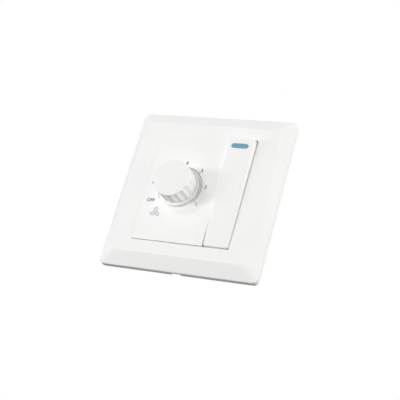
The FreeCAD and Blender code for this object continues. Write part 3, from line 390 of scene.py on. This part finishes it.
def knob_surface():
    """Knob skin of radius and depth rows round the axis: the underside, the flange, the fluted side with the
    pointer rib, the plain rim and the crowned top to its pole, then from the underside the hollow, the
    socket's outside and its bore to a second pole."""
    edges = pointer_turn() * np.array((-1 - RIB_STEP, -1, 1, 1 + RIB_STEP))
    even = np.linspace(0, 2 * math.pi, FLUTES * FLUTE_POINTS, endpoint=False)
    turn = np.unique(np.concatenate([even, edges % (2 * math.pi)]))
    base = KNOB_HIGH.y
    shoulder = base - FLANGE_T
    edge = KNOB_LOW.y + KNOB_CROWN
    flute_top = edge + FLUTE_TOP
    roof = edge + KNOB_ROOF
    mouth = PANEL_FRONT - SOCKET_MOUTH
    bore_end = SHAFT_LOW.y - SOCKET_SPARE
    top_r = KNOB_R - KNOB_EDGE
    hollow_r = KNOB_R - KNOB_WALL
    side = fluted_radius(turn)
    outside = [(hollow_r, base), (FLANGE_R, base)] + bend(FLANGE_R, shoulder, FLANGE_ROUND)
    outside += [(side, mix(shoulder, flute_top, share)) for share in np.linspace(0, 1, SIDE_ROWS)]
    outside += [(KNOB_R, flute_top)] + bend(KNOB_R, edge, KNOB_EDGE)
    outside += [(top_r * s, edge - KNOB_CROWN * (1 - s * s)) for s in CROWN_SHARES]
    inside = [(hollow_r, base), (hollow_r, roof), (SOCKET_R, roof), (SOCKET_R, mouth), (SHAFT_R, mouth),
              (SHAFT_R, bore_end), (0, bore_end)]
    aim = math.radians(POINTS_AT)
    upright = HEIGHT * math.cos(aim) + WIDTH * math.sin(aim)
    origin = KNOB_AXIS * (1, 0, 1)
    return [turned(rows, origin, DEPTH, upright, turn) for rows in (outside, inside)]


def ring_on_rays(rays, start, half_w, half_h, radius):
    """Where rays from a start point leave a rounded rectangle in (x, z): the distance along each ray is
    halved in on until its signed distance to the outline vanishes."""
    near = np.zeros(len(rays))
    far = np.full(len(rays), 4 * max(half_w, half_h))
    for _ in range(HALVINGS):
        middle = (near + far) / 2
        spot = np.abs(start + rays * middle[:, None]) - (half_w - radius, half_h - radius)
        away = np.linalg.norm(np.maximum(spot, 0), axis=1) + np.minimum(spot.max(axis=1), 0) - radius
        near = np.where(away > 0, near, middle)
        far = np.where(away > 0, middle, far)
    return start + rays * near[:, None]


def rocker_surface():
    """Rocker skin, closed through the strip's window. Every ring lies on the same rays from the strip's
    centre: the rear edge, which follows the web that deepens towards the pivot, the walls, whose ends lie on
    a circle about the pivot, the rounded front edge, the window in the front, and the hollow behind it."""
    front = rocker_front()
    pivot_y = ROCKER_PIVOT[1]
    start = np.array((0.0, STRIP_Z))

    def reach(y, swing=ROCKER_SWING):
        return math.sqrt(swing ** 2 - (y - pivot_y) ** 2)

    end_back = front + ROCKER_END
    rim = rounded_ring(ROCKER_HALF_W, reach(end_back), ROCKER_CORNER) - start
    even = np.linspace(-math.pi, math.pi, RAY_POINTS)
    angles = np.unique(np.round(np.concatenate([np.arctan2(rim[:, 0], rim[:, 1]), even[1:]]), 7))
    rays = np.stack([np.sin(angles), np.cos(angles)], -1)

    def outer(y, inset=0.0):
        return ring_on_rays(rays, start, ROCKER_HALF_W - inset, reach(y) - inset, ROCKER_CORNER - inset)

    def window(grow):
        half_h = STRIP_HALF_H + grow
        return start + ring_on_rays(rays, 0 * start, STRIP_HALF_W + grow, half_h, half_h)

    def rear(ring):
        slant = np.clip((np.abs(ring[:, 1]) - WEB_HALF) / (reach(end_back) - WEB_HALF), 0, 1)
        return mix(pivot_y + WEB_BEHIND, end_back, slant)

    wall_start = front + ROCKER_ROUND
    half_way = (end_back + wall_start) / 2
    back_ring = outer(end_back)
    mid_ring = outer(half_way)
    hollow_h = reach(end_back, ROCKER_SWING - ROCKER_WALL)
    hollow = ring_on_rays(rays, start, ROCKER_HALF_W - ROCKER_WALL, hollow_h, ROCKER_ROUND)
    inner = front + ROCKER_SKIN
    rows = [at_depth(back_ring, rear(back_ring)), at_depth(mid_ring, (rear(mid_ring) + wall_start) / 2)]
    for turn in np.linspace(0, math.pi / 2, 6):
        y = front + ROCKER_ROUND * (1 - math.sin(turn))
        rows.append(at_depth(outer(y, ROCKER_ROUND * (1 - math.cos(turn))), y))
    rows += [at_depth(window(STRIP_EDGE), front), at_depth(window(0), front + STRIP_EDGE),
             at_depth(window(0), inner), at_depth(hollow, inner), at_depth(hollow, rear(hollow))]
    points = np.stack(rows) + ROCKER_PIVOT * (1, 0, 0)
    return points, grid_faces(len(rows), len(rays), close_rows=True)


def rocker_front():
    """Depth of the rocker's front in the middle of its travel."""
    return PANEL_FRONT - ROCKER_SWING * math.sin(math.radians(ROCKER_TILT))


def rocker_inside():
    """The plunger's tube behind the rocker's front, and the two pivot pins inside its walls."""
    turn = np.linspace(0, 2 * math.pi, TURN_POINTS, endpoint=False)
    inner = rocker_front() + ROCKER_SKIN
    tube = [(STEM_BORE, inner), (STEM_R, inner), (STEM_R, inner + STEM_LONG), (STEM_BORE, inner + STEM_LONG)]
    made = [turned(tube, ROCKER_PIVOT * (1, 0, 0), DEPTH, HEIGHT, turn, close=True)]
    for side in SIDES:
        wall = side * (ROCKER_HALF_W - ROCKER_WALL)
        pin = [(0, wall), (PIN_R, wall), (PIN_R, wall - side * PIN_LONG), (0, wall - side * PIN_LONG)]
        made.append(turned(pin, ROCKER_PIVOT, WIDTH, HEIGHT, turn))
    return made


def tilted(surface):
    """Surface turned about the rocker's pivot, from the middle of its travel to rest."""
    points, faces = surface
    lean = math.radians(ROCKER_TILT)
    turn = np.array(((1, 0, 0), (0, math.cos(lean), -math.sin(lean)), (0, math.sin(lean), math.cos(lean))))
    return (points - ROCKER_PIVOT) @ turn.T + ROCKER_PIVOT, faces


def ink_strip(path, width, closed=False):
    """Thin bar of ink on the panel: each point of an (x, z) path moved half a width each way across the
    path's direction, at the ink's front and at the panel."""
    ahead = np.roll(path, -1, axis=0) - np.roll(path, 1, axis=0) if closed else np.gradient(path, axis=0)
    ahead /= np.linalg.norm(ahead, axis=1)[:, None]
    across = np.stack([-ahead[:, 1], ahead[:, 0]], -1) * width / 2
    front = PANEL_FRONT - INK
    rows = [at_depth(path - across, front), at_depth(path + across, front),
            at_depth(path + across, PANEL_FRONT), at_depth(path - across, PANEL_FRONT)]
    count = len(path)
    faces = grid_faces(4, count, close_rows=True, close_columns=closed)
    if not closed:
        ends = count * np.arange(4)
        faces = np.concatenate([faces, [ends, ends + count - 1]])
    return np.stack(rows), faces


def on_dial(radius, degrees):
    """Point of the panel at a radius and a clockwise angle from twelve o'clock about the knob's axis."""
    turn = np.radians(degrees)
    return np.stack([KNOB_AXIS[0] + radius * np.sin(turn), KNOB_AXIS[2] + radius * np.cos(turn)], -1)


def scale_surfaces():
    """The scale: an arc round the knob and a short radial tick at each mark but the first."""
    strips = [ink_strip(on_dial(ARC_R, np.linspace(OFF_AT, -OFF_AT, ARC_POINTS)), ARC_W)]
    reach = np.linspace(ARC_R, ARC_R + TICK_LONG, TICK_POINTS)
    strips += [ink_strip(on_dial(reach, OFF_AT + MARK_STEP * mark), ARC_W) for mark in range(1, MARKS)]
    return strips


def fan_leaves():
    """Outlines of the fan sign's three leaves. A leaf's path is a closed oval that leans to one side as it
    leaves the hub, turned by a third of a circle for each."""
    t = np.linspace(0, 2 * math.pi, LEAF_POINTS, endpoint=False)
    across = SIGN_SIZE * (LEAF_HALF * np.sin(t) + LEAF_LEAN * (1 - np.cos(t)))
    up = SIGN_SIZE * (LEAF_HALF * (1 - np.cos(t)) + LEAF_HUB)
    leaves = []
    for turn in np.radians(SIGN_TURNS):
        path = np.stack([across * math.cos(turn) + up * math.sin(turn),
                         up * math.cos(turn) - across * math.sin(turn)], -1)
        leaves.append(SIGN_PLACE + path)
    return leaves


def leaf_fill(path):
    """Thin closed disc within a leaf's outline: a pole in the middle, the outline at half the ink's height
    and at the panel, and a second pole."""
    middle = np.broadcast_to(path.mean(axis=0), path.shape)
    front = PANEL_FRONT - INK / 2
    rows = [at_depth(middle, front), at_depth(path, front),
            at_depth(path, PANEL_FRONT), at_depth(middle, PANEL_FRONT)]
    return np.stack(rows), grid_faces(4, len(path))


def lettering(name, text, height, centre):
    """Text as a thin solid mesh, scaled to its height, turned upright and centred on a place of the panel."""
    curve = bpy.data.curves.new(name, "FONT")
    curve.body = text
    curve.extrude = LETTER_DEEP
    curve.offset = LETTER_BOLD
    source = bpy.data.objects.new(name + ".curve", curve)
    bpy.context.scene.collection.objects.link(source)
    bpy.context.view_layer.update()
    mesh = bpy.data.meshes.new_from_object(source.evaluated_get(bpy.context.evaluated_depsgraph_get()))
    bpy.data.objects.remove(source)
    points = np.empty(len(mesh.vertices) * 3)
    mesh.vertices.foreach_get("co", points)
    points = points.reshape(-1, 3)
    low = points.min(axis=0)
    high = points.max(axis=0)
    size = height / (high[1] - low[1])
    flat = (points - (low + high) / 2)[:, :2] * size + centre
    in_front = points[:, 2] > 0
    placed = at_depth(flat, np.where(in_front, PANEL_FRONT - INK, PANEL_FRONT))
    mesh.vertices.foreach_set("co", placed.ravel())
    return mesh


def finish_nodes(name):
    """Node material with its shader and the object's own coordinates."""
    material = bpy.data.materials.new(name)
    material.use_nodes = True
    nodes = material.node_tree.nodes
    coords = nodes.new("ShaderNodeTexCoord")
    return material, nodes, material.node_tree.links, nodes["Principled BSDF"], coords.outputs["Object"]


def noise(nodes, links, coords, scale, detail=3.0):
    node = nodes.new("ShaderNodeTexNoise")
    node.inputs["Scale"].default_value = scale
    node.inputs["Detail"].default_value = detail
    links.new(coords, node.inputs["Vector"])
    return node.outputs["Fac"]


def ramp(nodes, links, value, low, high, start=0.3, stop=0.7):
    """Colour that runs from low to high over part of a value's range."""
    node = nodes.new("ShaderNodeValToRGB")
    node.color_ramp.elements[0].position = start
    node.color_ramp.elements[1].position = stop
    node.color_ramp.elements[0].color = (*low, 1)
    node.color_ramp.elements[1].color = (*high, 1)
    links.new(value, node.inputs["Fac"])
    return node.outputs["Color"]


def spread(nodes, links, value, low, high):
    """Number that runs from low to high with a value."""
    node = nodes.new("ShaderNodeMapRange")
    node.inputs["To Min"].default_value = low
    node.inputs["To Max"].default_value = high
    links.new(value, node.inputs["Value"])
    return node.outputs["Result"]


def bump(nodes, links, shader, value, strength, distance):
    node = nodes.new("ShaderNodeBump")
    node.inputs["Strength"].default_value = strength
    node.inputs["Distance"].default_value = distance
    links.new(value, node.inputs["Height"])
    links.new(node.outputs["Normal"], shader.inputs["Normal"])


def moulded(name, colour, rough, grain=0.08, metallic=0.0, shade=0.97, sheen=0.5):
    """Moulded or plated finish: a slow drift of tone, a fine grain in the gloss and a faint grain in
    relief."""
    material, nodes, links, shader, coords = finish_nodes(name)
    shader.inputs["Metallic"].default_value = metallic
    shader.inputs["Specular IOR Level"].default_value = sheen
    drift = noise(nodes, links, coords, DRIFT_SCALE)
    links.new(ramp(nodes, links, drift, [c * shade for c in colour], colour), shader.inputs["Base Color"])
    fine = noise(nodes, links, coords, GRAIN_SCALE, GRAIN_DETAIL)
    gloss = spread(nodes, links, fine, rough * (1 - GLOSS_SPREAD), rough * (1 + GLOSS_SPREAD))
    links.new(gloss, shader.inputs["Roughness"])
    bump(nodes, links, shader, fine, grain, GRAIN_DEEP)
    return material


WHITE = (0.93, 0.93, 0.925)
KNOB_WHITE = (0.91, 0.91, 0.90)
white = moulded("white_moulding", WHITE, 0.55, grain=0.05, shade=0.985, sheen=0.1)
knob_white = moulded("knob_moulding", KNOB_WHITE, 0.5, grain=0.04, shade=0.985, sheen=0.12)
ink = moulded("scale_ink", (0.10, 0.11, 0.14), 0.6)
sign_ink = moulded("sign_ink", (0.26, 0.28, 0.35), 0.6)
sign_tint = moulded("sign_tint", (0.75, 0.77, 0.80), 0.6)
teal = moulded("teal_lens", (0.155, 0.385, 0.48), 0.5, sheen=0.08)
FINISHES = {
    "plate_plastic": moulded("plate_moulding", (0.62, 0.62, 0.61), 0.5),
    "cradle_plastic": moulded("cradle_moulding", (0.72, 0.70, 0.64), 0.5),
    "housing_plastic": moulded("housing_moulding", (0.075, 0.075, 0.08), 0.55),
    "board_laminate": moulded("laminate", (0.24, 0.12, 0.03), 0.5),
    "case_plastic": moulded("capacitor_case", (0.42, 0.25, 0.02), 0.4),
    "package_plastic": moulded("triac_case", (0.02, 0.02, 0.02), 0.5),
    "resistor_coat": moulded("resistor_lacquer", (0.45, 0.32, 0.16), 0.4),
    "ferrite": moulded("ferrite", (0.03, 0.03, 0.032), 0.7),
    "copper": moulded("enamelled_copper", (0.48, 0.13, 0.04), 0.35, metallic=1.0),
    "brass": moulded("brass", (0.57, 0.38, 0.10), 0.35, metallic=1.0),
    "steel": moulded("plated_steel", (0.45, 0.45, 0.46), 0.35, metallic=1.0),
    "aluminium": moulded("aluminium", (0.6, 0.6, 0.61), 0.4, metallic=1.0),
    "cover_plastic": white,
    "knob_plastic": knob_white,
    "marker_plastic": teal,
}
for part in frame["record"]["subparts"]:
    node = frame["nodes"][part["node"]]
    node.data.materials.clear()
    node.data.materials.append(FINISHES[part["material_slot"]])


def build(name, surfaces, material, body, stands_for=()):
    new_piece(name, joined_mesh(name, surfaces), material, body, stands_for)


build("frame_shell", [cover_frame_surface(), *lug_surfaces()], white, "base",
      ["cover_frame"])
build("fluted_knob", knob_surface(), knob_white, "knob", ["speed_knob"])
build("rocker_key", [tilted(s) for s in (rocker_surface(), *rocker_inside())], white, "rocker_key",
      ["rocker"])
build("dial_scale", scale_surfaces(), ink, "base")
leaves = fan_leaves()
build("fan_sign", [ink_strip(leaf, SIGN_LINE, closed=True) for leaf in leaves], sign_ink, "base")
build("fan_sign_fill", [leaf_fill(leaf) for leaf in leaves], sign_tint, "base")
for digit in range(1, MARKS):
    name = "digit_%d" % digit
    turn = -OFF_AT + MARK_STEP * (1 - digit)
    place = on_dial(DIGIT_R if turn > -MARK_STEP / 2 else HIDDEN_DIGIT_R, turn)
    new_piece(name, lettering(name, str(digit), DIGIT_TALL, place), ink, "base")
new_piece("off_mark", lettering("off_mark", "OFF", DIGIT_TALL, OFF_PLACE), ink, "base")


LAMP_AWAY = 1.5
WARM = (1.0, 0.99, 0.96)


def soft_box(name, azimuth, elevation, width, height, power, tint=(1.0, 1.0, 1.0)):
    """Flat lamp aimed at the object, placed by the angle to the right of its front and the angle up."""
    lamp = bpy.data.lights.new(name, "AREA")
    lamp.shape = "RECTANGLE"
    lamp.size = width
    lamp.size_y = height
    lamp.energy = power
    lamp.color = tint
    across = math.radians(azimuth)
    up = math.radians(elevation)
    out = Vector((math.sin(across) * math.cos(up), -math.cos(across) * math.cos(up), math.sin(up)))
    holder = bpy.data.objects.new(name, lamp)
    holder.location = out * LAMP_AWAY
    holder.rotation_euler = out.to_track_quat("Z", "Y").to_euler()
    bpy.context.scene.collection.objects.link(holder)


soft_box("key_upper_left", -27, 20, 0.25, 0.25, 3.9)
soft_box("fill_left", -55, -8, 0.9, 0.25, 7.9)
soft_box("fill_front", -4, -8, 1.0, 0.25, 12.2)
soft_box("fill_right", 58, -8, 0.9, 0.25, 1.9, WARM)
soft_box("side_right", 88, -6, 0.6, 0.25, 8.3, WARM)
soft_box("rim_right", 90, 38, 0.8, 0.25, 8.3, WARM)
soft_box("back_right", 125, 4, 0.8, 0.25, 4.3, WARM)
soft_box("back_left", -150, 20, 0.8, 0.8, 11.4)
soft_box("rim_top", 0, 85, 0.8, 0.25, 3.5)

# The world is white to the camera and in gloss, and lights nothing else
world = bpy.data.worlds.new("studio")
bpy.context.scene.world = world
world.use_nodes = True
tree = world.node_tree
shown = tree.nodes["Background"]
shown.inputs["Color"].default_value = (1, 1, 1, 1)
path = tree.nodes.new("ShaderNodeLightPath")
either = tree.nodes.new("ShaderNodeMath")
either.operation = "MAXIMUM"
tree.links.new(path.outputs["Is Camera Ray"], either.inputs[0])
tree.links.new(path.outputs["Is Glossy Ray"], either.inputs[1])
tree.links.new(either.outputs[0], shown.inputs["Strength"])

FLOOR_Z = -1.6
FLOOR_HALF = 0.8
floor_mesh = bpy.data.meshes.new("floor")
floor_ring = np.array(((-1, -1), (1, -1), (1, 1), (-1, 1))) * FLOOR_HALF
floor_points = np.column_stack([floor_ring, np.full(4, FLOOR_Z)])
floor_mesh.from_pydata(floor_points.tolist(), [], [(0, 1, 2, 3)])
pale_floor = moulded("pale_floor", (0.8, 0.8, 0.8), 0.9)
floor_tree = pale_floor.node_tree
floor_path = floor_tree.nodes.new("ShaderNodeLightPath")
floor_shader = floor_tree.nodes["Principled BSDF"]
floor_shader.inputs["Emission Color"].default_value = (1, 1, 1, 1)
floor_tree.links.new(floor_path.outputs["Is Camera Ray"], floor_shader.inputs["Emission Strength"])
floor_mesh.materials.append(pale_floor)
floor = bpy.data.objects.new("floor", floor_mesh)
bpy.context.scene.collection.objects.link(floor)

EYE = Vector((215.84, -410.92, -180.06)) * MM
RIGHT = Vector((0.897, 0.3566, 0.2614)).normalized()
FOCAL_PIXELS = 995.2
DROP_PIXELS = 4.05
IMAGE = 400
SENSOR = 36.0
AHEAD = -EYE.normalized()
DROP = math.atan(DROP_PIXELS / FOCAL_PIXELS)
UP = RIGHT.cross(AHEAD)
LOOK = AHEAD * math.cos(DROP) - UP * math.sin(DROP)
TOP = RIGHT.cross(LOOK)
lens = bpy.data.cameras.new("camera")
lens.sensor_width = SENSOR
lens.lens = SENSOR * FOCAL_PIXELS / IMAGE
camera = bpy.data.objects.new("camera", lens)
camera.matrix_world = Matrix.Translation(EYE) @ Matrix((RIGHT, TOP, -LOOK)).transposed().to_4x4()
bpy.context.scene.collection.objects.link(camera)
bpy.context.scene.camera = camera
bpy.context.scene.view_settings.view_transform = "Standard"
